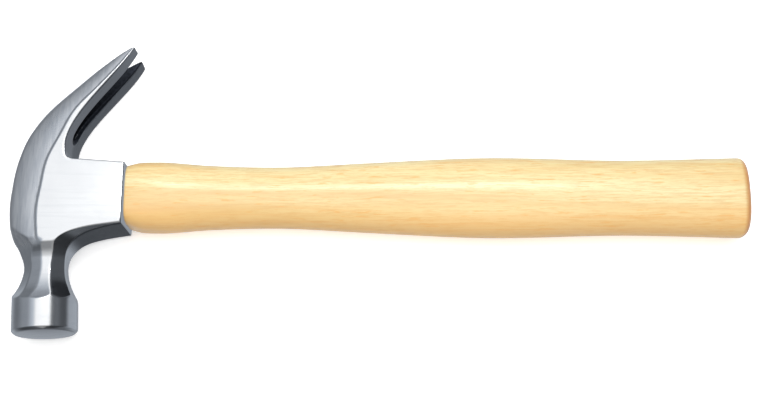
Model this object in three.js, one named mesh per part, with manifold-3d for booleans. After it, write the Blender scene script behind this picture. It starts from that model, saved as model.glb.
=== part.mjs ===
// Curved-claw hammer of the 16 oz class: a forged steel head on a turned wooden handle.
//
// Lengths are in millimetres. The model's own frame has its origin where the poll's axis
// crosses the handle's centre line: +X runs along the handle towards the butt, +Y towards
// the claw, and +Z is the side that faces up when the hammer lies on its side. The exported
// group is moved so that its origin is the middle of the rectangle that it stands on.

import * as THREE from 'three';
import { mergeVertices } from 'three/addons/utils/BufferGeometryUtils.js';
import Module from 'manifold-3d';

const wasm = await Module();
wasm.setup();

// ---- Driving dimensions -------------------------------------------------------------

const gap = 0.3; // left between pieces that touch

// Head
const pollRadius = 14.2;
const pollLength = 38.6; // from the root of the neck to the striking face
const crownHeight = 0.9;
const crownFlatRadius = 5;
const pollChamfer = 1.3;
const cheekHalf = 12.6; // half the thickness across the ground cheeks
const clawHalf = 14.1; // half the width across the tips of the claw
const noseX = -16.9; // the head's outermost line, on the side away from the handle
const collarX = 33.8; // the collar's end, which the handle's shoulder meets
const collarTop = 13.5;
const collarBottom = -14.7;
const tip = new THREE.Vector2(35.9, 67.6); // claw's edge, seen from the side
const neckRoot = new THREE.Vector2(-1.4, -24); // where the neck's own axis starts
const toeIn = THREE.MathUtils.degToRad(3); // the poll leans this much towards the handle
const waistAt = 7.6; // distance of the neck's narrowest place from its root
const waistHalf = 8.7; // half the neck's width across its flats there

// Nail slot between the two prongs
const slotApex = new THREE.Vector2(9.9, 28.4);
const slotMouthHalf = 4.8;
const slotApexHalf = 2.6;
const slotReach = 1.25; // how far the cutter runs, over the distance from apex to tip

// Eye and tenon
const eyeHalfHeight = 11.2;
const eyeHalfWidth = 6.1;
const eyeFlare = 0.6; // how much wider the eye is at its outer end, on each side
const eyeSquareness = 4;
const tenonRecess = 0.4; // the tenon's end lies this far below the head's surface

// Wedges
const kerfHalfOuter = 2.2;
const kerfHalfInner = 0.7;
const kerfDepth = 34;
const woodWedgeHalfHeight = 10.6;
const steelWedgeLength = 15;
const steelWedgeHalfWidth = 4.9;
const steelWedgeHalfOuter = 1.1;
const steelWedgeHalfInner = 0.35;
const steelWedgeSpacing = 11;

// Handle: half height and half thickness of its section at each place along it
const buttX = 312;
const handleStations = [
  { x: collarX + gap, height: 13.3, thickness: 12.0, squareness: 4.0 },
  { x: 39, height: 14.9, thickness: 12.3, squareness: 3.4 },
  { x: 47, height: 15.6, thickness: 12.3, squareness: 2.9 },
  { x: 70, height: 14.4, thickness: 11.3, squareness: 2.5 },
  { x: 101, height: 13.7, thickness: 10.8, squareness: 2.4 },
  { x: 140, height: 15.6, thickness: 11.8, squareness: 2.4 },
  { x: 192, height: 18.0, thickness: 12.8, squareness: 2.4 },
  { x: 258, height: 16.9, thickness: 12.2, squareness: 2.4 },
  { x: 306, height: 18.0, thickness: 12.8, squareness: 2.4 },
];
const buttRound = 3.4; // radius of the rounding round the butt
const buttDome = 1.6; // height of the butt's dome beyond that rounding

const overallMiddleX = (noseX + buttX) / 2;
const overallMiddleY = (neckRoot.y - pollLength + tip.y) / 2;

// ---- Helpers ------------------------------------------------------------------------

// A manifold-3d solid of a closed three.js geometry.
function solid(geometry) {
  const plain = new THREE.BufferGeometry();
  plain.setAttribute('position', geometry.getAttribute('position').clone());
  if (geometry.index) {
    plain.setIndex(geometry.index.clone());
  }
  const merged = mergeVertices(plain, 1e-4);
  return new wasm.Manifold(new wasm.Mesh({
    numProp: 3,
    vertProperties: new Float32Array(merged.getAttribute('position').array),
    triVerts: new Uint32Array(merged.index.array),
  }));
}

// The three.js geometry of a manifold-3d solid.
function geometryOf(manifold) {
  const mesh = manifold.getMesh();
  const geometry = new THREE.BufferGeometry();
  geometry.setAttribute('position', new THREE.Float32BufferAttribute(mesh.vertProperties, 3));
  geometry.setIndex(new THREE.Uint32BufferAttribute(mesh.triVerts, 1));
  geometry.computeVertexNormals();
  return geometry;
}

// A closed skin over rings of points, with a flat fan over the first and the last ring.
function loft(rings) {
  const count = rings[0].length;
  const points = rings.flat();
  const index = [];
  for (let i = 0; i + 1 < rings.length; i += 1) {
    for (let j = 0; j < count; j += 1) {
      const a = i * count + j;
      const b = i * count + (j + 1) % count;
      index.push(a, b, b + count, a, b + count, a + count);
    }
  }
  const last = (rings.length - 1) * count;
  for (let j = 1; j + 1 < count; j += 1) {
    index.push(0, j + 1, j, last, last + j, last + j + 1);
  }
  const geometry = new THREE.BufferGeometry().setFromPoints(points);
  geometry.setIndex(index);
  return geometry;
}

// A superellipse in the plane square to the handle, as a ring that runs from +Y to +Z.
function handleRing(x, halfHeight, halfThickness, squareness, sides = 40) {
  return Array.from({ length: sides }, (_, i) => {
    const angle = (i / sides) * 2 * Math.PI;
    const c = Math.cos(angle);
    const s = Math.sin(angle);
    const y = halfHeight * Math.sign(c) * Math.abs(c) ** (2 / squareness);
    const z = halfThickness * Math.sign(s) * Math.abs(s) ** (2 / squareness);
    return new THREE.Vector3(x, y, z);
  });
}

// A value at place p along a list of [place, value] pairs, by a smooth curve through them.
function along(pairs, p) {
  const curve = new THREE.SplineCurve(pairs.map(([place, value]) => new THREE.Vector2(place, value)));
  let low = 0;
  let high = 1;
  for (let i = 0; i < 30; i += 1) {
    const middle = (low + high) / 2;
    if (curve.getPoint(middle).x < p) {
      low = middle;
    } else {
      high = middle;
    }
  }
  return curve.getPoint(low).y;
}

// Evenly spaced numbers from first to last.
function steps(first, last, count) {
  return Array.from({ length: count + 1 }, (_, i) => first + ((last - first) * i) / count);
}

// ---- Head ---------------------------------------------------------------------------

// The flat outer side, from the neck up to the claw's tip: [height, X].
const outerLine = [
  [-24, -14.6], [-14.6, -16.2], [-6, noseX], [1.8, -16.5], [15.6, -14.4], [27.1, -10.2],
  [38.5, -2.4], [49.6, 9.4], [60.2, 22.9], [65.1, 30.2], [tip.y, 34.6],
];

// The crease where the forged band beside it meets the ground cheek: [height, X].
const creaseLine = [
  [-24, -2.0], [-17.2, -2.9], [-9.1, -3.4], [2.7, -2.2], [14.7, -0.2], [25.8, 4.6],
  [38.1, 10.0], [48.5, 19.2], [60.1, 29.4], [65.9, 34.0], [tip.y, 35.8],
];

// Half the width of the flat outer side: [height, half width].
const outerHalf = [
  [-24, 7.0], [15, 7.0], [30, 7.0], [44, 7.5], [49.6, 8.2], [55, 9.2], [60, 10.5], [65, 12.4], [tip.y, 13.3],
];

const bandFullness = 1.85; // length of the band's ellipse over its visible depth

// The flat outer side, the bands that curve away from it and the flat cheeks behind them.
function outerSide(shift = 0) {
  const creaseAngle = Math.acos(1 - 1 / bandFullness);
  const turns = steps(0, creaseAngle, 8);
  return loft(steps(-24, tip.y + 3, 44).map((y) => {
    const place = THREE.MathUtils.clamp(y, -24, tip.y);
    const x = along(outerLine, place) + shift;
    const length = bandFullness * Math.max(along(creaseLine, place) - along(outerLine, place), 1);
    const half = THREE.MathUtils.lerp(cheekHalf, clawHalf, THREE.MathUtils.smoothstep(y, 12, 60));
    const flat = along(outerHalf, place);
    const drop = (half - flat) / Math.sin(creaseAngle);
    const band = (side) => turns.map((t) => (
      new THREE.Vector3(x + length * (1 - Math.cos(t)), y, side * (flat + drop * Math.sin(t)))
    ));
    const behind = [new THREE.Vector3(60, y, half), new THREE.Vector3(60, y, -half)];
    return [...band(-1).reverse(), ...band(1), ...behind];
  }));
}

// The claw, cheek and collar seen from the side, open to the outer side.
function sideShape() {
  const shape = new THREE.Shape();
  shape.moveTo(tip.x, tip.y);
  shape.bezierCurveTo(27.6, 52.6, 8.2, 36.4, 7.2, 21.8);
  shape.bezierCurveTo(7.0, 17.6, 7.8, 15.3, 10.5, 15.1);
  shape.lineTo(collarX, collarTop);
  shape.lineTo(collarX, collarBottom);
  shape.bezierCurveTo(20, -16.6, 12.4, -18.2, 10.6, -21);
  shape.lineTo(-30, -21);
  shape.lineTo(-30, tip.y);
  shape.closePath();
  return shape;
}

// How far the neck's flats stand out from its waist, at each distance from its root.
const neckGrowth = [
  [-8, 3.8], [-3, 3.8], [-1, 3.2], [3, 0.9], [waistAt, 0], [14, 0.6], [19, 2.4], [23, 4.9], [26, 7.0],
];

// The neck's eight-sided section at a distance from its root, down its own axis.
function neckRing(distance) {
  const half = waistHalf + along(neckGrowth, THREE.MathUtils.clamp(distance, -8, 26));
  const corner = half / Math.cos(Math.PI / 8);
  return Array.from({ length: 8 }, (_, i) => {
    const angle = (i + 0.5) * (Math.PI / 4);
    return new THREE.Vector3(corner * Math.cos(angle), -distance, corner * Math.sin(angle));
  });
}

// The poll turned about its axis, which ends in a chamfer and a slightly crowned face. It
// widens above the poll, so that it rounds only the poll's end of the neck.
function pollTurning() {
  const rim = crownHeight - pollLength;
  const wide = 2 * pollRadius;
  const profile = [
    new THREE.Vector2(0, -pollLength),
    new THREE.Vector2(crownFlatRadius, -pollLength),
    new THREE.Vector2((crownFlatRadius + pollRadius - pollChamfer) / 2, 0.3 * crownHeight - pollLength),
    new THREE.Vector2(pollRadius - pollChamfer, rim),
    new THREE.Vector2(pollRadius, rim + pollChamfer),
    new THREE.Vector2(pollRadius, -18),
    new THREE.Vector2(wide, -14),
    new THREE.Vector2(wide, 6),
    new THREE.Vector2(0, 6),
  ];
  return new THREE.LatheGeometry(profile, 64);
}

// From the neck's own frame, with its root at the origin and its axis down, to the head's.
function placeNeck(geometry) {
  return geometry.rotateZ(toeIn).translate(neckRoot.x, neckRoot.y, 0);
}

function neckAndPoll() {
  const shaft = placeNeck(loft(steps(-6, pollLength + 2, 46).map(neckRing)));
  return solid(shaft).intersect(solid(placeNeck(pollTurning())));
}

// The eye through the head, wider towards the outer side; grown makes it larger all round.
function eyeRings(grown, fromX, toX) {
  return steps(fromX, toX, 6).map((x) => {
    const wide = eyeFlare * THREE.MathUtils.smoothstep(-x, -8, -noseX);
    return handleRing(x, eyeHalfHeight + wide + grown, eyeHalfWidth + wide + grown, eyeSquareness);
  });
}

// The V between the prongs, square to the claw where it ends.
function nailSlot() {
  const claw = new THREE.Vector2().subVectors(tip, slotApex);
  const mouth = slotApexHalf + (slotMouthHalf - slotApexHalf) * slotReach;
  const shape = new THREE.Shape();
  shape.moveTo(0, -slotApexHalf);
  shape.lineTo(claw.length() * slotReach, -mouth);
  shape.lineTo(claw.length() * slotReach, mouth);
  shape.lineTo(0, slotApexHalf);
  shape.absarc(0, 0, slotApexHalf, Math.PI / 2, (3 * Math.PI) / 2, false);
  const prism = new THREE.ExtrudeGeometry(shape, { depth: 80, bevelEnabled: false, curveSegments: 10 });
  prism.translate(0, 0, -40);
  prism.rotateX(Math.PI / 2);
  prism.rotateZ(claw.angle());
  prism.translate(slotApex.x, slotApex.y, 0);
  return prism;
}

function head() {
  const blank = new THREE.ExtrudeGeometry(sideShape(), {
    depth: 2 * clawHalf,
    bevelEnabled: false,
    curveSegments: 20,
  });
  blank.translate(0, 0, -clawHalf);
  const upper = solid(blank).intersect(solid(outerSide()));
  const whole = upper.add(neckAndPoll());
  const eye = solid(loft(eyeRings(0, noseX - 2, collarX + 2)));
  return whole.subtract(eye).subtract(solid(nailSlot()));
}

// ---- Wedges -------------------------------------------------------------------------

// A wedge that narrows along +X: half sizes along Y and Z at its outer and inner ends.
function wedge(outerX, length, outer, inner) {
  const ends = [[outerX, outer], [outerX + length, inner]];
  return loft(ends.map(([x, [y, z]]) => [
    new THREE.Vector3(x, y, z),
    new THREE.Vector3(x, -y, z),
    new THREE.Vector3(x, -y, -z),
    new THREE.Vector3(x, y, -z),
  ]));
}

// What lies under the head's outer surface, so that ends driven into the eye sit below it.
const underSurface = solid(outerSide(tenonRecess));

function kerf(grown) {
  return solid(wedge(
    noseX,
    kerfDepth + grown,
    [woodWedgeHalfHeight + grown, kerfHalfOuter + grown],
    [woodWedgeHalfHeight - 2 + grown, kerfHalfInner + grown],
  ));
}

function steelWedge(y, grown) {
  const shape = wedge(
    noseX,
    steelWedgeLength + grown,
    [steelWedgeHalfOuter + grown, steelWedgeHalfWidth + grown],
    [steelWedgeHalfInner + grown, steelWedgeHalfWidth + grown],
  );
  return solid(shape.translate(0, y, 0));
}

const steelWedgeYs = [-steelWedgeSpacing / 2, steelWedgeSpacing / 2];

function woodenWedge() {
  const body = kerf(0).intersect(solid(loft(eyeRings(-gap, noseX - 2, 20)))).intersect(underSurface);
  return steelWedgeYs.reduce((left, y) => left.subtract(steelWedge(y, gap)), body);
}

// ---- Handle -------------------------------------------------------------------------

function station(key, x) {
  return along(handleStations.map((s) => [s.x, s[key]]), x);
}

// The shaft from the shoulder to the butt, which ends in a rounding and a low dome.
function shaftRings() {
  const roundStart = buttX - buttDome - buttRound;
  const lengthwise = steps(collarX + gap, roundStart, 44).map((x) => (
    handleRing(x, station('height', x), station('thickness', x), station('squareness', x))
  ));
  const { height, thickness, squareness } = handleStations.at(-1);
  const rounding = steps(0, Math.PI / 2, 6).slice(1).map((t) => {
    const inset = buttRound * (1 - Math.cos(t));
    return handleRing(roundStart + buttRound * Math.sin(t), height - inset, thickness - inset, squareness);
  });
  const dome = [0.66, 0.33, 0.08].map((share) => handleRing(
    buttX - buttDome * share * share,
    (height - buttRound) * share,
    (thickness - buttRound) * share,
    squareness,
  ));
  return [...lengthwise, ...rounding, ...dome];
}

function handle() {
  const tenon = solid(loft(eyeRings(-gap, noseX - 2, collarX + 3))).intersect(underSurface);
  const whole = tenon.add(solid(loft(shaftRings())));
  const slotted = whole.subtract(kerf(gap));
  return steelWedgeYs.reduce((left, y) => left.subtract(steelWedge(y, gap)), slotted);
}

// ---- Assembly -----------------------------------------------------------------------

const steel = { color: 0xb4b8bd, roughness: 0.3, metalness: 1 };
const wood = { color: 0xecd199, roughness: 0.35, metalness: 0 };
const wedgeWood = { color: 0xc79a5e, roughness: 0.6, metalness: 0 };
const wedgeSteel = { color: 0x8a8d90, roughness: 0.5, metalness: 1 };

function piece(name, manifold, finish) {
  const mesh = new THREE.Mesh(geometryOf(manifold), new THREE.MeshStandardMaterial(finish));
  mesh.name = name;
  return mesh;
}

const hammer = new THREE.Group();
hammer.add(piece('head', head(), steel));
hammer.add(piece('handle', handle(), wood));
hammer.add(piece('wooden_wedge', woodenWedge(), wedgeWood));
steelWedgeYs.forEach((y, i) => {
  hammer.add(piece(`steel_wedge_${i + 1}`, steelWedge(y, 0).intersect(underSurface), wedgeSteel));
});
hammer.position.set(-overallMiddleX, -overallMiddleY, pollRadius);

export default hammer;
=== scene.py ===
"""A curved-claw hammer that lies on its side on a pale studio floor.

Shapes are worked out in the hammer's own millimetres: the origin is where the poll's axis
crosses the handle's centre line, +X runs along the handle to its butt, +Y to the claw and
+Z is the side that faces up. mesh_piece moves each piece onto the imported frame, in metres.
"""

import math

import bpy
import numpy as np
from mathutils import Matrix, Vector


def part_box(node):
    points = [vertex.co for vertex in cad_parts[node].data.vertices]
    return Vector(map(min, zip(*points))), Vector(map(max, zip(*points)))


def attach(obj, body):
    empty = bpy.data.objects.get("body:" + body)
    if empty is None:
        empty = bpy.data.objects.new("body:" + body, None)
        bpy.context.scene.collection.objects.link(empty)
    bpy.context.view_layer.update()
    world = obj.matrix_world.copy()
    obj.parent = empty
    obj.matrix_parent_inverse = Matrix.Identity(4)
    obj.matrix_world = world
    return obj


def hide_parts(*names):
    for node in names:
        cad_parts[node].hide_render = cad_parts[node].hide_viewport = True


MM = 0.001
DARK_SKIN_AND_SHADE = "dark_skin_and_shade"  # the head's own map of its dark forging skin and painted shade: both in the slot, shade in the claw and underneath
BANDED = "banded"  # and of the brushed band on its outer side
GAP = 0.3  # meant to be left between pieces that touch; see wedge_block

# ---- Head, in millimetres ------------------------------------------------------------

CHEEK_HALF = 12.6
CLAW_HALF = 14.1
CLAW_WIDENS = (12, 60)  # heights between which the one becomes the other
TIP = (35.9, 67.6)
COLLAR_X = 33.8
NECK_ROOT = (-1.4, -24.0)
TOE_IN = math.radians(3)
POLL_RADIUS = 14.2
POLL_START = 17.5  # down the neck from its root; above it the neck's facets give the shape
POLL_LENGTH = 38.6
CROWN_HEIGHT = 0.9
POLL_CHAMFER = 1.3
CHEEK_END = -25.0  # below this height the neck and the poll have their own faces
CREASE_STEP = 0.5  # the ground cheek stands this far above the band beside it, which is left from the forge
SOFT_EDGE = 0.5  # radius left on ground edges by polishing

# The flat outer side, the crease beside the cheek and half the outer side's width: (height, value)
OUTER_LINE = [
    (-24, -14.6), (-14.6, -16.2), (-6, -16.9), (1.8, -16.5), (15.6, -14.4), (27.1, -10.2),
    (38.5, -2.1), (49.6, 9.9), (60.2, 23.1), (65.1, 30.6), (67.6, 35.1), (71, 41.4),
]
CREASE_LINE = [
    (-24, -2.6), (-17.2, -3.6), (-9.1, -4.2), (2.7, -3.0), (14.7, -1.0), (25.8, 4.0),
    (38.1, 10.4), (48.5, 19.8), (60.1, 29.9), (65.9, 34.4), (67.6, 36.0), (71, 42.0),
]
OUTER_HALF = [(30, 7.0), (44, 7.5), (49.6, 8.2), (55, 9.2), (60, 10.5), (65, 12.4), (67.6, 13.3)]
BAND_FULLNESS = 1.85  # length of the band's ellipse over its visible depth

# Neck facets: how far each stands from the neck's axis, at distances below the root
FRONT_FACET = [
    (-5, 15.0), (-1.5, 12.6), (0, 11.6), (2.7, 9.9), (5.4, 8.8), (7.6, 8.54), (14, 9.1),
    (19, 10.9), (23, 13.2), (26, 15.4), (40, 24),
]
BAND_FACET = [
    (-10, 17.0), (-6, 14.2), (-3, 12.2), (0, 10.97), (2.7, 9.36), (5.4, 8.31), (7.6, 8.06),
    (14, 8.8), (19, 10.8), (23, 13.6), (26, 15.8), (40, 24),
]
LEFT_CHAMFER = [
    (-30, 36), (-16, 21), (-9.3, 15.8), (-5.3, 13.5), (-2.8, 11.6), (0, 9.9), (2.7, 9.0), (5.4, 8.4),
    (7.6, 8.1), (14, 9.1), (19, 11.3), (23, 14.4), (26, 17), (40, 26),
]
LEFT_FLAT = [
    (-16, 21), (-10, 17), (-5.6, 14.6), (-2.8, 13.2), (0, 11.6), (2.7, 10.5), (5.4, 9.5), (7.6, 9.05),
    (14, 10.0), (19, 12.2), (23, 15.0), (26, 17), (40, 26),
]
BAND_FACET_TILT = math.radians(18)
FACET_STEEPNESS = 0.9  # keeps a facet's distance honest where its place changes with height

# Chamfer between the underside and the cheek: the sum of both depths, at each height
UNDER_CHAMFER = [
    (-60, 9.0), (-45, 5.8), (-42, 4.55), (-38, 3.65), (-34.5, 3.4), (-31.6, 3.5), (-28, 4.45),
    (-26, 5.5), (-24, 6.5), (-22.5, 7.2), (-21, 7.7), (-19.2, 8.6), (-17, 10.1), (-16, 10.7),
    (-15, 11.3), (-13, 11.9), (-5, 12.1), (12, 12.1), (60, 13.6),
]

# Nail slot
SLOT_APEX = (9.9, 28.4)
SLOT_APEX_HALF = 2.6
SLOT_MOUTH_HALF = 4.8
BEVEL_WIDTH = 2.0  # the countersink beside the slot, at its apex
BEVEL_WIDTH_AT_TIP = 0.6
BEVEL_SLOPE = 0.7  # its depth over its width

# Share of painted shade inside the claw, in the dark tone of forging skin, what the lower prong has
# beyond that, and the share on the collar's underside, all painted shade
CLAW_PAINTED_SHADE = 0.62
CLAW_PAINTED_SHADE_STARTS = (16, 19)  # heights between which it sets in
LOWER_PRONG_PAINTED_SHADE = 0.16
UNDERSIDE_PAINTED_SHADE = 0.85
UNDERSIDE_Y = (-28, -10)

# Eye, and the tenon and wedges in it
EYE_HALF_HEIGHT = 11.2
EYE_HALF_WIDTH = 6.1
EYE_FLARE = 0.6  # what the eye gains on every side towards the outer side
EYE_FLARE_START = 8.0
EYE_SQUARENESS = 4.0
NOSE_X = -16.9
TENON_RECESS = 0.4
KERF_DEPTH = 34.0
WOOD_WEDGE_HALF_HEIGHT = 10.6
WOOD_WEDGE_TAPER = 2.0  # what that loses along the kerf
KERF_HALF_OUTER = 2.2
KERF_HALF_INNER = 0.7
STEEL_WEDGE_LENGTH = 15.0
STEEL_WEDGE_HALF_WIDTH = 4.9
STEEL_WEDGE_HALF_OUTER = 1.1
STEEL_WEDGE_HALF_INNER = 0.35
STEEL_WEDGE_YS = (-5.5, 5.5)

# The box that the head is netted in, and the size of the nets' cells
HEAD_LOW = (-18.6, -65, -15.2)
HEAD_HIGH = (38.4, 69.6, 15.2)
HEAD_CELL = 0.5
WEDGE_CELL = 0.3

# ---- Handle, in millimetres -----------------------------------------------------------

BUTT_X = 312.0
BUTT_ROUND = 3.4
BUTT_DOME = 1.6
BUTT_RIM = (5.2, 2.6)  # distances from the butt where its darker rim begins and is full
PAINTED_LOW_SHADE = (-16, -2)  # heights where the warmer, deeper colour painted on the low side as shade is full and where it ends
SHOULDER_INSET = 0.9  # of the first ring, against the collar
SHOULDER_ROUND = 0.35
HANDLE_SIDES = 160

# Sections of the shaft: X, half height, half thickness and squareness
STATIONS = [
    (COLLAR_X + GAP, 13.3, 12.0, 4.0), (39, 14.9, 12.3, 3.4), (47, 15.6, 12.3, 2.9),
    (70, 14.4, 11.3, 2.5), (101, 13.7, 10.8, 2.4), (140, 15.6, 11.8, 2.4),
    (192, 18.0, 12.8, 2.4), (258, 16.9, 12.2, 2.4), (306, 18.0, 12.8, 2.4),
]

# ---- Numbers and curves ---------------------------------------------------------------


def smooth(pairs, at):
    """A value at each place along (place, value) pairs, by a smooth curve through them."""
    place, value = np.array(pairs, float).T
    slope = np.gradient(value, place)
    at = np.clip(at, place[0], place[-1])
    i = np.clip(np.searchsorted(place, at, side="right") - 1, 0, len(place) - 2)
    step = place[i + 1] - place[i]
    t = (at - place[i]) / step
    rise = t * t * (3 - 2 * t)
    return (
        value[i] * (1 - rise) + value[i + 1] * rise
        + slope[i] * step * t * (1 - t) ** 2 - slope[i + 1] * step * t * t * (1 - t)
    )


def smoothstep(low, high, at):
    """From 0 at low to 1 at high; high may be the smaller."""
    t = np.clip((at - low) / (high - low), 0, 1)
    return t * t * (3 - 2 * t)


def both(a, b, radius):
    """The distance from what lies in both shapes, with the edge they share rounded."""
    near = np.maximum(radius - np.abs(a - b), 0)
    return np.maximum(a, b) + near * near / (4 * radius)


def either(a, b, radius):
    """The distance from what lies in either shape, with the corner between them filled."""
    return -both(-a, -b, radius)


def bezier(start, first, second, end, count=18):
    """Points on a cubic curve after its start."""
    t = np.linspace(0, 1, count + 1)[1:, None]
    start, first, second, end = (np.array(p, float) for p in (start, first, second, end))
    return (1 - t) ** 3 * start + 3 * t * (1 - t) ** 2 * first + 3 * t * t * (1 - t) * second + t**3 * end


def outline_distance(corners, x, y):
    """Signed distance from a closed outline in the XY plane, negative inside."""
    nearest = np.full(x.shape, np.inf)
    inside = np.zeros(x.shape, bool)
    for (ax, ay), (bx, by) in zip(corners, np.roll(corners, -1, axis=0)):
        ex, ey = bx - ax, by - ay
        share = np.clip(((x - ax) * ex + (y - ay) * ey) / (ex * ex + ey * ey), 0, 1)
        nearest = np.minimum(nearest, (x - ax - share * ex) ** 2 + (y - ay - share * ey) ** 2)
        if ey:
            inside ^= ((ay > y) != (by > y)) & (x < ax + ex * (y - ay) / ey)
    return np.where(inside, -1, 1) * np.sqrt(nearest)


# ---- Meshes from distances ----------------------------------------------------------


def surface_net(distance, low, high, cell):
    """Vertices and quads where distance(x, y, z) is zero, one vertex in each crossed cell."""
    axes = [np.arange(a, b + cell, cell) for a, b in zip(low, high)]
    x, y, z = (axes[0][:, None, None], axes[1][None, :, None], axes[2][None, None, :])
    value = np.broadcast_to(distance(x, y, z), [len(a) for a in axes])
    cells = [n - 1 for n in value.shape]
    total = np.zeros([*cells, 3])
    count = np.zeros(cells)
    crossings = []
    for axis in range(3):
        a = np.moveaxis(value, axis, 0)[:-1]
        b = np.moveaxis(value, axis, 0)[1:]
        crossed = (a < 0) != (b < 0)
        share = np.where(crossed, a / np.where(crossed, a - b, 1), 0)
        crossed, share, rising = (np.moveaxis(m, 0, axis) for m in (crossed, share, a < 0))
        crossings.append((crossed, rising))
        others = [i for i in range(3) if i != axis]
        for first in (0, 1):
            for second in (0, 1):
                window = [slice(None)] * 3
                window[others[0]] = slice(first, first + cells[others[0]])
                window[others[1]] = slice(second, second + cells[others[1]])
                here = crossed[tuple(window)]
                count += here
                total[..., axis] += share[tuple(window)] * here
                total[..., others[0]] += first * here
                total[..., others[1]] += second * here
    used = count > 0
    number = np.full(cells, -1)
    number[used] = np.arange(used.sum())
    corner = np.stack(np.nonzero(used), axis=1)
    points = np.array([a[0] for a in axes]) + cell * (corner + total[used] / count[used][:, None])
    quads = [net_quads(number, crossed, rising, axis) for axis, (crossed, rising) in enumerate(crossings)]
    return points, np.concatenate(quads)


def net_quads(number, crossed, rising, axis):
    """One quad round each crossed edge along an axis, wound so that it faces outwards."""
    u, v = (axis + 1) % 3, (axis + 2) % 3
    spot = np.stack(np.nonzero(crossed), axis=1)
    for side in (u, v):
        spot = spot[(spot[:, side] > 0) & (spot[:, side] < number.shape[side])]
    outwards = rising[tuple(spot.T)]
    ring = []
    for du, dv in ((-1, -1), (0, -1), (0, 0), (-1, 0)):
        place = spot.copy()
        place[:, u] += du
        place[:, v] += dv
        ring.append(number[tuple(place.T)])
    quads = np.stack(ring, axis=1)
    return np.where(outwards[:, None], quads, quads[:, ::-1])


def slope_at(distance, points, reach):
    """The gradient of the distance at each point, over that reach."""
    x, y, z = points.T
    return np.stack([
        distance(x + reach, y, z) - distance(x - reach, y, z),
        distance(x, y + reach, z) - distance(x, y - reach, z),
        distance(x, y, z + reach) - distance(x, y, z - reach),
    ], axis=1) / (2 * reach)


def settle(distance, points, cell, rounds=3):
    """Moves points onto the surface, along the gradient."""
    for _ in range(rounds):
        slope = slope_at(distance, points, 0.1 * cell)
        size = np.maximum((slope**2).sum(axis=1), 0.05)
        step = np.clip(distance(*points.T), -0.5 * cell, 0.5 * cell) / size
        points = points - step[:, None] * slope
    return points


def net_piece(name, distance, low, high, cell):
    """An object for a distance, with its vertices on the surface and normals from it."""
    points, quads = surface_net(distance, low, high, cell)
    points = settle(distance, points, cell)
    normals = slope_at(distance, points, 0.35 * cell)
    normals /= np.linalg.norm(normals, axis=1)[:, None] + 1e-9
    obj = mesh_piece(name, points, quads.tolist())
    obj.data.normals_split_custom_set_from_vertices(normals.tolist())
    return obj, points, normals


def mesh_piece(name, points, faces):
    """An object with those vertices in the hammer's millimetres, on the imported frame."""
    mesh = bpy.data.meshes.new(name)
    mesh.from_pydata((np.array(points) * MM + ORIGIN).tolist(), [], faces)
    mesh.validate()
    mesh.polygons.foreach_set("use_smooth", [True] * len(mesh.polygons))
    obj = bpy.data.objects.new(name, mesh)
    bpy.context.scene.collection.objects.link(obj)
    return obj


# ---- Head ---------------------------------------------------------------------------


def inner_outline():
    """The head's inner side seen from the side: claw, throat, collar, underside and poll."""
    top_corner = (COLLAR_X, 13.5)
    top_round = ((COLLAR_X - 1, 13.55), (COLLAR_X, 12.5))
    bottom_corner = (COLLAR_X, -14.7)
    bottom_round = ((COLLAR_X, -13.7), (COLLAR_X - 1, -14.75))
    beyond_tip = (TIP[0] + 9.7, TIP[1] + 17.5)
    waist = (8.35, -31.6)
    parts = [
        [beyond_tip, TIP],
        bezier(TIP, (28.6, 52.6), (8.2, 36.4), (7.2, 21.8), 40),
        bezier((7.2, 21.8), (7.0, 17.6), (7.8, 15.3), (10.5, 15.1)),
        [top_round[0]],
        bezier(top_round[0], top_corner, top_corner, top_round[1], 6),
        [bottom_round[0]],
        bezier(bottom_round[0], bottom_corner, bottom_corner, bottom_round[1], 6),
        bezier(bottom_round[1], (17, -17.5), (8.35, -20), waist, 40),
        bezier(waist, (8.35, -38), (11.2, -43), (14.6, -49), 24),
        [(17, -90), (-90, -90), (-90, 110), (beyond_tip[0], 110)],
    ]
    return np.concatenate([np.array(p, float) for p in parts])


class Profile:
    """The signed distance from an outline, kept on a fine grid and read between its points."""

    STEP = 0.15
    LOW = np.array([-26.0, -72.0])
    HIGH = np.array([46.0, 76.0])

    def __init__(self, corners):
        x = np.arange(self.LOW[0], self.HIGH[0], self.STEP)
        y = np.arange(self.LOW[1], self.HIGH[1], self.STEP)
        self.table = outline_distance(corners, *np.meshgrid(x, y, indexing="ij"))

    def __call__(self, x, y):
        u = (x - self.LOW[0]) / self.STEP
        v = (y - self.LOW[1]) / self.STEP
        i = np.clip(np.floor(u).astype(int), 0, self.table.shape[0] - 2)
        j = np.clip(np.floor(v).astype(int), 0, self.table.shape[1] - 2)
        u, v = u - i, v - j
        lower = self.table[i, j] * (1 - v) + self.table[i, j + 1] * v
        upper = self.table[i + 1, j] * (1 - v) + self.table[i + 1, j + 1] * v
        return lower * (1 - u) + upper * u


def half_thickness(y):
    return CHEEK_HALF + (CLAW_HALF - CHEEK_HALF) * smoothstep(*CLAW_WIDENS, y)


def band_ellipse(y):
    """The outer side's X and half width, and the length and depth of the ellipse beyond it."""
    outer = smooth(OUTER_LINE, y)
    flat = smooth(OUTER_HALF, y)
    length = BAND_FULLNESS * np.maximum(smooth(CREASE_LINE, y) - outer, 1.0)
    share = math.sqrt(1 - (1 - 1 / BAND_FULLNESS) ** 2)  # of its depth, reached at the crease
    return outer, flat, length, (half_thickness(y) - CREASE_STEP - flat) / share


def nose_surface(y, z):
    """X of the head's outer surface."""
    outer, flat, length, drop = band_ellipse(y)
    beside = np.maximum(np.abs(z) - flat, 0) / drop
    return outer + length * (1 - np.sqrt(np.maximum(1 - beside**2, 0)))


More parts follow.
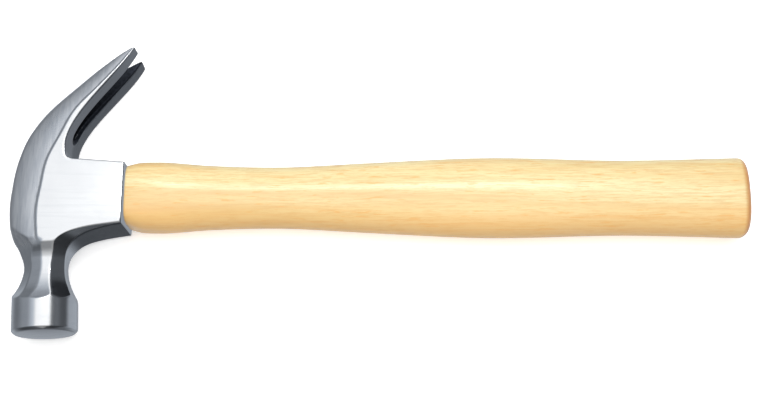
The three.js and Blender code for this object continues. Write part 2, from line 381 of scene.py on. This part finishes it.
def band_distance(x, y, up):
    outer, flat, length, drop = band_ellipse(y)
    u = np.minimum((x - outer - length) / length, 0)
    v = np.maximum(up - flat, 0) / drop
    radius = np.sqrt(u * u + v * v) + 1e-6
    steep = np.sqrt((u / length) ** 2 + (v / drop) ** 2) + 1e-6
    return np.clip((radius - 1) * radius / steep, -8, 8)


def outside_faces(x, y, up):
    """The cheek, the step down from it and the rounded band."""
    half = half_thickness(y)
    crease = smooth(CREASE_LINE, y)
    step = both(crease - x, (up - (half - CREASE_STEP) - (x - crease)) / math.sqrt(2), 0.1)
    below = np.maximum(CHEEK_END - y, 0)
    return both(up - half, either(0.85 * band_distance(x, y, up), step, 0.4), 0.4) - 1.5 * below


def neck_frame(x, y):
    """Distances across and down the neck's own axis."""
    dx, dy = x - NECK_ROOT[0], y - NECK_ROOT[1]
    across = dx * math.cos(TOE_IN) + dy * math.sin(TOE_IN)
    down = dx * math.sin(TOE_IN) - dy * math.cos(TOE_IN)
    return across, down


def neck_faces(x, y, up):
    """The flats and chamfers that the forge left round the neck, on the sides that the outline leaves."""
    across, down = neck_frame(x, y)
    leaning = up * math.cos(BAND_FACET_TILT) - across * math.sin(BAND_FACET_TILT)
    front = FACET_STEEPNESS * (up - smooth(FRONT_FACET, down))
    band = FACET_STEEPNESS * (leaning - smooth(BAND_FACET, down))
    chamfer = FACET_STEEPNESS * ((up - across) / math.sqrt(2) - smooth(LEFT_CHAMFER, down))
    flat = FACET_STEEPNESS * (-across - smooth(LEFT_FLAT, down))
    return both(both(front, band, 0.2), both(chamfer, flat, 0.4), 0.3)


def poll_turning(x, y, up):
    """The poll turned about the neck's axis: cylinder, chamfer and crowned face."""
    across, down = neck_frame(x, y)
    radius = np.sqrt(across**2 + up**2)
    cylinder = radius - POLL_RADIUS - 1.6 * np.maximum(POLL_START - down, 0)
    rim = POLL_LENGTH - CROWN_HEIGHT
    face = down - POLL_LENGTH + CROWN_HEIGHT * (radius / (POLL_RADIUS - POLL_CHAMFER)) ** 2
    chamfer = (radius + down - (POLL_RADIUS + rim - POLL_CHAMFER)) / math.sqrt(2)
    return both(both(cylinder, chamfer, 0.35), face, 0.35)


def slot_frame(x, y):
    """Distance along the claw from the nail slot's apex, and the slot's half width there."""
    claw = np.array(TIP) - np.array(SLOT_APEX)
    length = float(np.hypot(*claw))
    forward = ((x - SLOT_APEX[0]) * claw[0] + (y - SLOT_APEX[1]) * claw[1]) / length
    share = np.clip(forward / length, 0, 1.5)
    return forward, share, SLOT_APEX_HALF + (SLOT_MOUTH_HALF - SLOT_APEX_HALF) * share


def outside_slot(x, y, up):
    """How far a place is from the nail slot's walls, and the share of the way to the tip."""
    forward, share, half = slot_frame(x, y)
    ahead = up - half
    behind = np.sqrt(np.minimum(forward, 0) ** 2 + up**2) - SLOT_APEX_HALF
    return np.where(forward > 0, ahead, behind), share


def bevel_width(share):
    return BEVEL_WIDTH + (BEVEL_WIDTH_AT_TIP - BEVEL_WIDTH) * np.minimum(share, 1)


def eye_flare(x):
    return EYE_FLARE * smoothstep(-EYE_FLARE_START, -NOSE_X, -x)


def eye_distance(x, y, z):
    """Signed distance from the eye's wall, negative inside the eye."""
    wide = eye_flare(x)
    height, width = EYE_HALF_HEIGHT + wide, EYE_HALF_WIDTH + wide
    n = EYE_SQUARENESS
    radius = (np.abs(y / height) ** n + np.abs(z / width) ** n) ** (1 / n)
    return (radius - 1) * width


def head_distance(x, y, z):
    """Signed distance from the whole head, negative in its steel."""
    up = np.abs(z)
    inner = INNER(x, y)
    under = (inner + up - smooth(UNDER_CHAMFER, y)) / math.sqrt(2)
    whole = both(outside_faces(x, y, up), both(inner, under, 0.4), SOFT_EDGE)
    whole = both(whole, neck_faces(x, y, up), 0.5)
    whole = both(whole, poll_turning(x, y, up), 0.3)
    whole = both(whole, 0.95 * (y - TIP[1] + 0.05 * (up - SLOT_MOUTH_HALF)), 0.25)
    beside, share = outside_slot(x, y, up)
    whole = both(whole, -beside, 0.25)
    bevel = (inner + BEVEL_SLOPE * (bevel_width(share) - beside)) / math.sqrt(1 + BEVEL_SLOPE**2)
    whole = both(whole, bevel, 0.3)
    return both(whole, -eye_distance(x, y, z), 0.6)


def skin_and_painted_shade(points, normals):
    """The share of dark tone on each place: forging skin and painted shade in the slot, painted shade
    inside the claw and underneath.
    """
    x, y, z = points.T
    beside, share = outside_slot(x, y, np.abs(z))
    depth = -INNER(x, y)
    width = np.where(depth < BEVEL_SLOPE * BEVEL_WIDTH, bevel_width(share), 0)
    # the nail slot: dark forging skin that also stands in for the shade in it
    slot = smoothstep(0.2, 0.0, beside - width) * smoothstep(0.05, 0.3, depth) * (y > SLOT_APEX[1] - 6)
    # inside the claw, and more on its lower prong: painted shade
    claw = CLAW_PAINTED_SHADE + LOWER_PRONG_PAINTED_SHADE * smoothstep(2, -2, z)
    claw *= smoothstep(0.3, 0.05, depth) * smoothstep(*CLAW_PAINTED_SHADE_STARTS, y)
    # the collar's underside: painted shade
    under = UNDERSIDE_PAINTED_SHADE * smoothstep(0.35, 0.85, -normals[:, 1]) * smoothstep(0.6, 0.1, depth)
    under *= (y > UNDERSIDE_Y[0]) & (y < UNDERSIDE_Y[1])
    return np.maximum(np.maximum(slot, claw), under)


def on_band(points):
    """The share of brushed band on each place: the outer side, up to the crease."""
    x, y, _ = points.T
    return smoothstep(0.2, -0.2, x - smooth(CREASE_LINE, y)) * smoothstep(-26, -22, y)


def mark(obj, name, shares):
    attribute = obj.data.attributes.new(name, "FLOAT", "POINT")
    attribute.data.foreach_set("value", shares.astype(np.float32))


def make_head():
    head, points, normals = net_piece("head", head_distance, HEAD_LOW, HEAD_HIGH, HEAD_CELL)
    mark(head, DARK_SKIN_AND_SHADE, skin_and_painted_shade(points, normals))
    mark(head, BANDED, on_band(points))
    return head


# ---- Handle -------------------------------------------------------------------------


def section(height, width, squareness):
    """A superellipse's Y and Z, running from +Y to +Z."""
    angle = np.arange(HANDLE_SIDES) / HANDLE_SIDES * 2 * np.pi
    c, s = np.cos(angle), np.sin(angle)
    y = height * np.sign(c) * np.abs(c) ** (2 / squareness)
    z = width * np.sign(s) * np.abs(s) ** (2 / squareness)
    return y, z


def ring(x, y, z):
    return np.stack([np.broadcast_to(x, y.shape), y, z], axis=1)


def tenon_rings():
    """The tenon in the eye: its domed outer end follows the head's surface from below."""
    wide = EYE_FLARE - GAP
    y, z = section(EYE_HALF_HEIGHT + wide, EYE_HALF_WIDTH + wide, EYE_SQUARENESS)
    ends = [(share, 0.0) for share in (0.01, 0.2, 0.4, 0.6, 0.75, 0.88, 0.96)]
    ends += [(0.985, 0.15), (1.0, 0.6)]
    rings = [
        ring(nose_surface(y * share, z * share) + TENON_RECESS + drop, y * share, z * share)
        for share, drop in ends
    ]
    for x in np.linspace(-7, COLLAR_X + GAP, 14):
        wide = eye_flare(x) - GAP
        rings.append(ring(x, *section(EYE_HALF_HEIGHT + wide, EYE_HALF_WIDTH + wide, EYE_SQUARENESS)))
    return rings


def shaft_section(x, inset=0.0, share=1.0):
    """The shaft's ring at x, moved in from its outline and then scaled."""
    height, width, squareness = (smooth([(row[0], row[i]) for row in STATIONS], x) for i in (1, 2, 3))
    return section((height - inset) * share, (width - inset) * share, squareness)


def shaft_rings():
    """The shaft from its shoulder to the butt, which ends in a rounding and a low dome."""
    start = COLLAR_X + GAP
    round_start = BUTT_X - BUTT_DOME - BUTT_ROUND
    rings = [ring(start, *shaft_section(start, SHOULDER_INSET))]
    for x in np.concatenate([start + np.array([0.15, 0.6]), np.linspace(start + 1.2, round_start, 200)]):
        rings.append(ring(x, *shaft_section(x, max(SHOULDER_ROUND - (x - start), 0))))
    for angle in np.linspace(0, math.pi / 2, 12)[1:]:
        inset = BUTT_ROUND * (1 - math.cos(angle))
        x = round_start + BUTT_ROUND * math.sin(angle)
        rings.append(ring(x, *shaft_section(BUTT_X, inset)))
    for share in (0.9, 0.75, 0.55, 0.35, 0.15, 0.01):
        x = BUTT_X - BUTT_DOME * share**2
        rings.append(ring(x, *shaft_section(BUTT_X, BUTT_ROUND, share)))
    return rings


def skin(rings):
    """Faces over rings of the same size, closed at both ends."""
    sides = len(rings[0])
    faces = []
    for i in range(len(rings) - 1):
        for j in range(sides):
            a, b = i * sides + j, i * sides + (j + 1) % sides
            faces.append((a, b, b + sides, a + sides))
    last = (len(rings) - 1) * sides
    faces.append(tuple(range(sides))[::-1])
    faces.append(tuple(range(last, last + sides)))
    return faces


def wedge_block(name, y, length, outer, inner):
    """A box that narrows along +X from beyond the nose, as a cutter.

    Known fault: its faces point inwards, so carve only scores the handle's end and takes no wood
    out. With the corners of each face in the opposite order it cuts the kerf and the pockets.
    """
    start = NOSE_X - 1.0
    points = []
    for x, (half_y, half_z) in ((start, outer), (NOSE_X + length, inner)):
        for side_y, side_z in ((1, 1), (-1, 1), (-1, -1), (1, -1)):
            points.append((x, y + side_y * half_y, side_z * half_z))
    sides = [(0, 4, 5, 1), (1, 5, 6, 2), (2, 6, 7, 3), (3, 7, 4, 0)]
    return mesh_piece(name, points, [(0, 1, 2, 3), (7, 6, 5, 4), *sides])


def make_handle():
    rings = tenon_rings() + shaft_rings()
    handle = mesh_piece("handle", np.concatenate(rings), skin(rings))
    cutters = [
        wedge_block(
            "kerf", 0, KERF_DEPTH + GAP,
            (WOOD_WEDGE_HALF_HEIGHT + GAP, KERF_HALF_OUTER + GAP),
            (WOOD_WEDGE_HALF_HEIGHT - WOOD_WEDGE_TAPER + GAP, KERF_HALF_INNER + GAP),
        )
    ]
    for i, y in enumerate(STEEL_WEDGE_YS):
        cutters.append(wedge_block(
            f"pocket_{i}", y, STEEL_WEDGE_LENGTH + GAP,
            (STEEL_WEDGE_HALF_OUTER + GAP, STEEL_WEDGE_HALF_WIDTH + GAP),
            (STEEL_WEDGE_HALF_INNER + GAP, STEEL_WEDGE_HALF_WIDTH + GAP),
        ))
    carve(handle, cutters)
    handle.data.set_sharp_from_angle(angle=math.radians(35))
    return handle


def carve(obj, cutters):
    """Applies the cutters to an object's mesh, by Boolean difference, and removes them."""
    for cutter in cutters:
        modifier = obj.modifiers.new("carve", "BOOLEAN")
        modifier.operation = "DIFFERENCE"
        modifier.solver = "EXACT"
        modifier.object = cutter
    bpy.context.view_layer.update()
    graph = bpy.context.evaluated_depsgraph_get()
    obj.data = bpy.data.meshes.new_from_object(obj.evaluated_get(graph))
    obj.modifiers.clear()
    for cutter in cutters:
        bpy.data.objects.remove(cutter)


# ---- Wedges -------------------------------------------------------------------------


def taper(x, across, length, outer, inner):
    """Distance from the nearer of two faces that close in along +X."""
    share = np.clip((x - NOSE_X) / length, -0.1, 1.2)
    return np.abs(across) - (outer + (inner - outer) * share)


def below_nose(x, y, z):
    return nose_surface(y, z) + TENON_RECESS - x


def steel_wedge_distance(at, grown=0.0):
    def distance(x, y, z):
        outer, inner = STEEL_WEDGE_HALF_OUTER + grown, STEEL_WEDGE_HALF_INNER + grown
        thin = taper(x, y - at, STEEL_WEDGE_LENGTH, outer, inner)
        wide = np.abs(z) - STEEL_WEDGE_HALF_WIDTH - grown
        end = x - NOSE_X - STEEL_WEDGE_LENGTH - grown
        body = both(both(thin, wide, 0.2), end, 0.15)
        return body if grown else both(body, below_nose(x, y, z), 0.2)
    return distance


def wooden_wedge_distance(x, y, z):
    thin = taper(x, z, KERF_DEPTH, KERF_HALF_OUTER, KERF_HALF_INNER)
    height = WOOD_WEDGE_HALF_HEIGHT
    tall = taper(x, y, KERF_DEPTH, height, height - WOOD_WEDGE_TAPER)
    body = both(both(thin, tall, 0.2), x - NOSE_X - KERF_DEPTH, 0.15)
    body = both(body, below_nose(x, y, z), 0.2)
    for at in STEEL_WEDGE_YS:
        body = both(body, -steel_wedge_distance(at, GAP)(x, y, z), 0.1)
    return body


def make_wooden_wedge():
    return net_piece(
        "wooden_wedge", wooden_wedge_distance,
        (NOSE_X - 1, -12.4, -3.2), (NOSE_X + KERF_DEPTH + 1, 12.4, 3.2), WEDGE_CELL,
    )[0]


def make_steel_wedge(number, at):
    return net_piece(
        f"steel_wedge_{number}", steel_wedge_distance(at),
        (NOSE_X - 1, at - 2, -6.6), (NOSE_X + STEEL_WEDGE_LENGTH + 1, at + 2, 6.6), WEDGE_CELL,
    )[0]


# ---- Materials ----------------------------------------------------------------------


def feed(node, links):
    """Sets a node's inputs, each to a value or to another node's output."""
    for socket, source in links.items():
        if isinstance(source, bpy.types.NodeSocket):
            node.id_data.links.new(source, node.inputs[socket])
        else:
            node.inputs[socket].default_value = source


def add_node(tree, kind, links=(), **settings):
    node = tree.nodes.new(kind)
    for key, value in settings.items():
        setattr(node, key, value)
    feed(node, dict(links))
    return node


def set_stops(node, stops):
    """Gives a colour ramp its (position, colour) stops."""
    elements = node.color_ramp.elements
    while len(elements) < len(stops):
        elements.new(0.5)
    for element, (position, colour) in zip(elements, stops):
        element.position = position
        element.color = colour


class Nodes:
    """A material's node tree, with short calls for the nodes that the finishes share."""

    def __init__(self, name):
        self.material = bpy.data.materials.new(name)
        self.material.use_nodes = True
        self.tree = self.material.node_tree
        self.shader = self.tree.nodes["Principled BSDF"]
        self.place = self.add("ShaderNodeTexCoord").outputs["Object"]

    def add(self, kind, links=(), **settings):
        return add_node(self.tree, kind, links, **settings)

    def noise(self, scale, detail=3.0, roughness=0.5, distortion=0.0, offset=(0, 0, 0)):
        """Noise from 0 to 1, with its own scale along each axis, in features per metre."""
        links = {"Vector": self.place, "Scale": Vector(scale), "Location": Vector(offset)}
        place = self.add("ShaderNodeMapping", links).outputs[0]
        links = {"Vector": place, "Scale": 1.0, "Detail": detail, "Roughness": roughness}
        return self.add("ShaderNodeTexNoise", {**links, "Distortion": distortion}).outputs["Fac"]

    def spread(self, value, low, high, to_low=0.0, to_high=1.0):
        links = {"Value": value, "From Min": low, "From Max": high, "To Min": to_low, "To Max": to_high}
        return self.add("ShaderNodeMapRange", links, interpolation_type="SMOOTHSTEP").outputs[0]

    def math(self, operation, a, b):
        return self.add("ShaderNodeMath", {0: a, 1: b}, operation=operation).outputs[0]

    def mix(self, share, a, b):
        return self.add("ShaderNodeMix", {0: share, 6: a, 7: b}, data_type="RGBA").outputs[2]

    def ramp(self, value, stops):
        node = self.add("ShaderNodeValToRGB", {"Fac": value})
        set_stops(node, stops)
        return node.outputs["Color"]

    def bump(self, height, distance, strength=1.0, below=None):
        links = {"Height": height, "Distance": distance, "Strength": strength}
        if below is not None:
            links["Normal"] = below
        return self.add("ShaderNodeBump", links).outputs["Normal"]

    def axis(self, name):
        return self.add("ShaderNodeSeparateXYZ", {0: self.place}).outputs[name]

    def finish(self, colour, roughness, normal):
        feed(self.shader, {"Base Color": colour, "Roughness": roughness, "Normal": normal})
        return self.material


def rgb(red, green, blue):
    """A colour given in the display's own values, 0 to 255."""
    def linear(v):
        v /= 255
        return v / 12.92 if v <= 0.04045 else ((v + 0.055) / 1.055) ** 2.4
    return (linear(red), linear(green), linear(blue), 1.0)


def polished_steel():
    """Ground and polished tool steel: belt lines, scuffs and faint clouding, dark forging skin and
    painted shade.
    """
    n = Nodes("polished_steel")
    n.shader.inputs["Metallic"].default_value = 1.0
    lines = n.noise((90, 2600, 900), detail=4, roughness=0.6)
    coarse = n.noise((25, 700, 300), detail=3)
    cloud = n.noise((45, 45, 45), detail=4, roughness=0.6)
    scuffs = n.spread(n.noise((420, 160, 300), detail=5, roughness=0.65, distortion=1.2), 0.66, 0.76)
    pits = n.noise((700, 700, 700), detail=5, roughness=0.7)
    # map of dark forging skin and of painted shade in the slot, the claw and underneath
    dark_skin_and_shade = n.add("ShaderNodeAttribute", attribute_name=DARK_SKIN_AND_SHADE).outputs["Fac"]
    tone = n.ramp(cloud, [(0.25, rgb(204, 206, 209)), (0.75, rgb(215, 217, 219))])
    tone = n.mix(n.spread(coarse, 0.45, 0.7, 0.0, 0.16), tone, rgb(186, 190, 195))
    banded = n.add("ShaderNodeAttribute", attribute_name=BANDED).outputs["Fac"]
    brushed = n.noise((700, 60, 900), detail=4, roughness=0.6, distortion=0.3)
    tone = n.mix(banded, tone, n.ramp(brushed, [(0.35, rgb(212, 214, 217)), (0.65, rgb(236, 236, 236))]))
    tone = n.mix(n.math("MULTIPLY", scuffs, 0.25), tone, rgb(172, 176, 182))
    # one dark tone serves the forging skin and the painted shade
    skin_and_shade_tone = n.ramp(pits, [(0.3, rgb(34, 37, 43)), (0.7, rgb(62, 66, 74))])
    tone = n.mix(dark_skin_and_shade, tone, skin_and_shade_tone)
    roughness = n.math("ADD", n.spread(cloud, 0.2, 0.8, 0.13, 0.2), n.math("MULTIPLY", lines, 0.05))
    roughness = n.math("ADD", roughness, n.math("MULTIPLY", scuffs, 0.08))
    roughness = n.math("ADD", roughness, n.math("MULTIPLY", dark_skin_and_shade, 0.25))
    roughness = n.math("ADD", roughness, n.math("MULTIPLY", banded, 0.1))
    normal = n.bump(coarse, 0.00002)
    normal = n.bump(lines, 0.000008, below=normal)
    normal = n.bump(n.math("MULTIPLY", pits, dark_skin_and_shade), 0.00015, below=normal)
    return n.finish(tone, roughness, normal)


def lacquered_wood():
    """Pale straight-grained wood under clear lacquer: fibres and rings run along the handle."""
    n = Nodes("lacquered_wood")
    n.shader.inputs["Coat Weight"].default_value = 0.6
    n.shader.inputs["Coat Roughness"].default_value = 0.12
    rings = n.noise((3.2, 75, 40), detail=3, roughness=0.55, distortion=0.35)
    streaks = n.noise((14, 520, 300), detail=4, roughness=0.6)
    fibres = n.noise((110, 1500, 1100), detail=4, roughness=0.7)
    flecks = n.spread(n.noise((95, 1000, 800), detail=3, roughness=0.6, offset=(3, 1, 2)), 0.58, 0.68)
    tone = n.ramp(rings, [
        (0.30, rgb(217, 180, 119)), (0.42, rgb(226, 198, 138)), (0.52, rgb(232, 213, 157)),
        (0.66, rgb(236, 221, 171)), (0.80, rgb(230, 202, 142)),
    ])
    tone = n.mix(n.spread(streaks, 0.52, 0.68, 0, 0.45), tone, rgb(226, 178, 112))
    tone = n.mix(n.spread(fibres, 0.45, 0.62, 0, 0.5), tone, rgb(214, 174, 114))
    tone = n.mix(n.math("MULTIPLY", flecks, 0.6), tone, rgb(226, 166, 84))
    low, high = (ORIGIN[1] + y * MM for y in PAINTED_LOW_SHADE)
    # painted shade: the handle's low side is warmer and deeper in tone
    tone = n.mix(n.spread(n.axis("Y"), low, high, 0.65, 0.0), tone, rgb(248, 190, 112))
    begin, full = (ORIGIN[0] + (BUTT_X - distance) * MM for distance in BUTT_RIM)
    tone = n.mix(n.spread(n.axis("X"), begin, full, 0.0, 0.85), tone, rgb(206, 138, 78))
    roughness = n.spread(streaks, 0.3, 0.7, 0.30, 0.42)
    normal = n.bump(fibres, 0.00004)
    normal = n.bump(rings, 0.0004, 0.5, below=normal)
    return n.finish(tone, roughness, normal)


def plain_wood():
    """The bare wood of the wedge: darker, dry, with its end grain at the eye."""
    n = Nodes("plain_wood")
    grain = n.noise((60, 500, 900), detail=5, roughness=0.65, distortion=0.4)
    pores = n.spread(n.noise((900, 1400, 2600), detail=2), 0.62, 0.72)
    tone = n.ramp(grain, [(0.3, rgb(156, 104, 58)), (0.5, rgb(190, 138, 84)), (0.7, rgb(210, 164, 108))])
    tone = n.mix(n.math("MULTIPLY", pores, 0.5), tone, rgb(110, 68, 36))
    return n.finish(tone, n.spread(grain, 0.3, 0.7, 0.55, 0.72), n.bump(grain, 0.00015))


def dull_steel():
    """The driven steel wedges: grey, hammered at the end, with specks of rust."""
    n = Nodes("dull_steel")
    n.shader.inputs["Metallic"].default_value = 1.0
    dents = n.noise((700, 900, 900), detail=4, roughness=0.6)
    rust = n.spread(n.noise((500, 420, 600), detail=5, roughness=0.7, offset=(5, 2, 1)), 0.58, 0.72)
    tone = n.ramp(dents, [(0.3, rgb(112, 114, 117)), (0.7, rgb(156, 158, 160))])
    tone = n.mix(n.math("MULTIPLY", rust, 0.5), tone, rgb(116, 84, 62))
    return n.finish(tone, n.spread(dents, 0.3, 0.7, 0.34, 0.52), n.bump(dents, 0.00012))


def dress(obj, material, slot, *nodes):
    """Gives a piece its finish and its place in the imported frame."""
    obj.data.materials.clear()
    obj.data.materials.append(material)
    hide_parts(*nodes)
    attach(obj, "root")


# ---- Stage --------------------------------------------------------------------------

FLOOR_SIZE = 6.0
CAMERA_AIM = (149.0, -1.12, 0.0)  # in the hammer's millimetres
CAMERA_DISTANCE = 0.5684
CAMERA_TILT = math.radians(15.5)
CAMERA_LENS = 59.23
CAMERA_SENSOR = 36

# What polished steel mirrors round the hammer: (degrees from straight up, towards +X; radiance)
SURROUNDINGS = [
    (-180, 0.40), (-165, 0.42), (-150, 0.46), (-138, 0.52), (-112, 0.27), (-97, 0.22), (-84, 0.27),
    (-66, 0.38), (-49, 0.38), (-42, 0.46), (-36, 0.62), (-30, 0.72), (-24, 0.85), (-20, 1.1),
    (-18, 1.45), (30.5, 1.45), (34, 0.17), (45, 0.14), (57, 0.19), (72, 0.11), (92, 0.10),
    (106, 0.50), (152, 0.54), (163, 0.40), (180, 0.36),
]
COOL = (0.92, 0.99, 1.09)  # tint of the dimmer surroundings
COOL_BELOW = 0.9
NEAR_SHADE = 0.3  # the share of the surroundings that is left towards -Y, the near side
NEAR_SHADE_Y = (-0.75, -0.3)  # Y of the directions where that share is reached and where it sets in
ROOM_FILL = 0.35  # radiance of the pale room as matt surfaces see it
ROOM_WHITE = 1.05  # and as the camera sees it

# Lights: name, place, what it faces, size, radiance and whether polished steel mirrors it
LIGHTS = [
    ("softbox", (-0.06, 0.06, 0.6), (-0.06, 0.06, 0), (0.62, 0.42), 1.45, False),
    ("strip", (0.01, 0.235, 0.63), (0.01, 0, 0.014), (0.40, 0.085), 7.0, True),
    ("fill", (0, 0.1, 0.95), (0, 0, 0), (1.4, 0.9), 1.6, False),
]


def make_floor():
    half = FLOOR_SIZE / 2
    mesh = bpy.data.meshes.new("floor")
    corners = [(-half, -half, 0), (half, -half, 0), (half, half, 0), (-half, half, 0)]
    mesh.from_pydata(corners, [], [(0, 1, 2, 3)])
    floor = bpy.data.objects.new("floor", mesh)
    bpy.context.scene.collection.objects.link(floor)
    material = bpy.data.materials.new("floor")
    material.use_nodes = True
    shader = material.node_tree.nodes["Principled BSDF"]
    shader.inputs["Base Color"].default_value = (0.93, 0.93, 0.93, 1)
    shader.inputs["Roughness"].default_value = 0.9
    shader.inputs["Specular IOR Level"].default_value = 0.1
    shader.inputs["Emission Color"].default_value = (1, 1, 1, 1)
    shader.inputs["Emission Strength"].default_value = 0.45
    mesh.materials.append(material)
    floor.visible_glossy = False


def room_bands(tree, way):
    """The colour that a polished surface mirrors from that way, by its angle round the handle."""
    links = {0: way.outputs["X"], 1: way.outputs["Z"]}
    angle = add_node(tree, "ShaderNodeMath", links, operation="ARCTAN2").outputs[0]
    links = {"Value": angle, "From Min": -math.pi, "From Max": math.pi}
    turn = add_node(tree, "ShaderNodeMapRange", links).outputs[0]
    bands = add_node(tree, "ShaderNodeValToRGB", {"Fac": turn})
    stops = []
    for degrees, radiance in SURROUNDINGS:
        tint = COOL if radiance < COOL_BELOW else (1, 1, 1)
        stops.append(((degrees + 180) / 360, (*(radiance * t for t in tint), 1)))
    set_stops(bands, stops)
    return bands.outputs["Color"]


def make_room():
    """A pale room: white to the camera, even to matt surfaces, in soft bands to polished ones."""
    world = bpy.data.worlds.new("room")
    bpy.context.scene.world = world
    world.use_nodes = True
    tree = world.node_tree
    ray = add_node(tree, "ShaderNodeLightPath")
    way = add_node(tree, "ShaderNodeTexCoord").outputs["Generated"]
    way = add_node(tree, "ShaderNodeSeparateXYZ", {0: way})
    low, high = NEAR_SHADE_Y
    links = {"Value": way.outputs["Y"], "From Min": low, "From Max": high, "To Min": NEAR_SHADE}
    shade = add_node(tree, "ShaderNodeMapRange", links).outputs[0]
    mirrored = tree.nodes["Background"]
    feed(mirrored, {"Color": room_bands(tree, way), "Strength": shade})
    links = {0: ray.outputs["Is Camera Ray"], 2: ROOM_FILL, 3: ROOM_WHITE}
    strength = add_node(tree, "ShaderNodeMix", links, data_type="FLOAT").outputs[0]
    even = add_node(tree, "ShaderNodeBackground", {"Color": (1, 1, 1, 1), "Strength": strength})
    links = {0: ray.outputs["Is Glossy Ray"], 1: even.outputs[0], 2: mirrored.outputs[0]}
    seen = add_node(tree, "ShaderNodeMixShader", links)
    feed(tree.nodes["World Output"], {"Surface": seen.outputs[0]})


def area_light(name, at, aim, size, radiance, glossy):
    """A soft light at one place that faces another and shines with that radiance."""
    data = bpy.data.lights.new(name, "AREA")
    data.shape = "RECTANGLE"
    data.size, data.size_y = size
    data.energy = size[0] * size[1] * math.pi * radiance
    light = bpy.data.objects.new(name, data)
    light.location = at
    light.rotation_euler = (Vector(aim) - Vector(at)).to_track_quat("-Z", "Y").to_euler()
    light.visible_glossy = glossy
    bpy.context.scene.collection.objects.link(light)


def make_camera():
    data = bpy.data.cameras.new("camera")
    data.lens = CAMERA_LENS
    data.sensor_width = CAMERA_SENSOR
    camera = bpy.data.objects.new("camera", data)
    back = Vector((0, -math.sin(CAMERA_TILT), math.cos(CAMERA_TILT)))
    camera.location = Vector(ORIGIN) + MM * Vector(CAMERA_AIM) + CAMERA_DISTANCE * back
    camera.rotation_euler = (CAMERA_TILT, 0, 0)
    bpy.context.scene.collection.objects.link(camera)
    bpy.context.scene.camera = camera


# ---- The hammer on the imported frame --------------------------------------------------

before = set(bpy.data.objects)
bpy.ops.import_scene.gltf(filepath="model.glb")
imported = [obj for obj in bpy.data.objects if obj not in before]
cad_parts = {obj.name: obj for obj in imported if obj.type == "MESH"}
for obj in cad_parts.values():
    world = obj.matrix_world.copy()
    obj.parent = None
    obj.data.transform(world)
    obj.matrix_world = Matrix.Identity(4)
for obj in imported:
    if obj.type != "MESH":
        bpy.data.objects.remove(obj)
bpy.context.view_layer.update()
handle_low, handle_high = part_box("handle")
handle_middle = (handle_low + handle_high) / 2
ORIGIN = np.array([handle_high.x - BUTT_X * MM, handle_middle.y, handle_middle.z])

INNER = Profile(inner_outline())

dress(make_head(), polished_steel(), "head_steel", "head")
handle = make_handle()
handle.visible_glossy = False  # the steel beside it mirrors the studio alone
dress(handle, lacquered_wood(), "handle_wood", "handle")
dress(make_wooden_wedge(), plain_wood(), "wedge_wood", "wooden_wedge")
wedge_finish = dull_steel()
for number, at in enumerate(STEEL_WEDGE_YS, start=1):
    name = f"steel_wedge_{number}"
    dress(make_steel_wedge(number, at), wedge_finish, "wedge_steel", name)

make_floor()
make_room()
for light in LIGHTS:
    area_light(*light)
make_camera()
bpy.context.scene.view_settings.view_transform = "Standard"
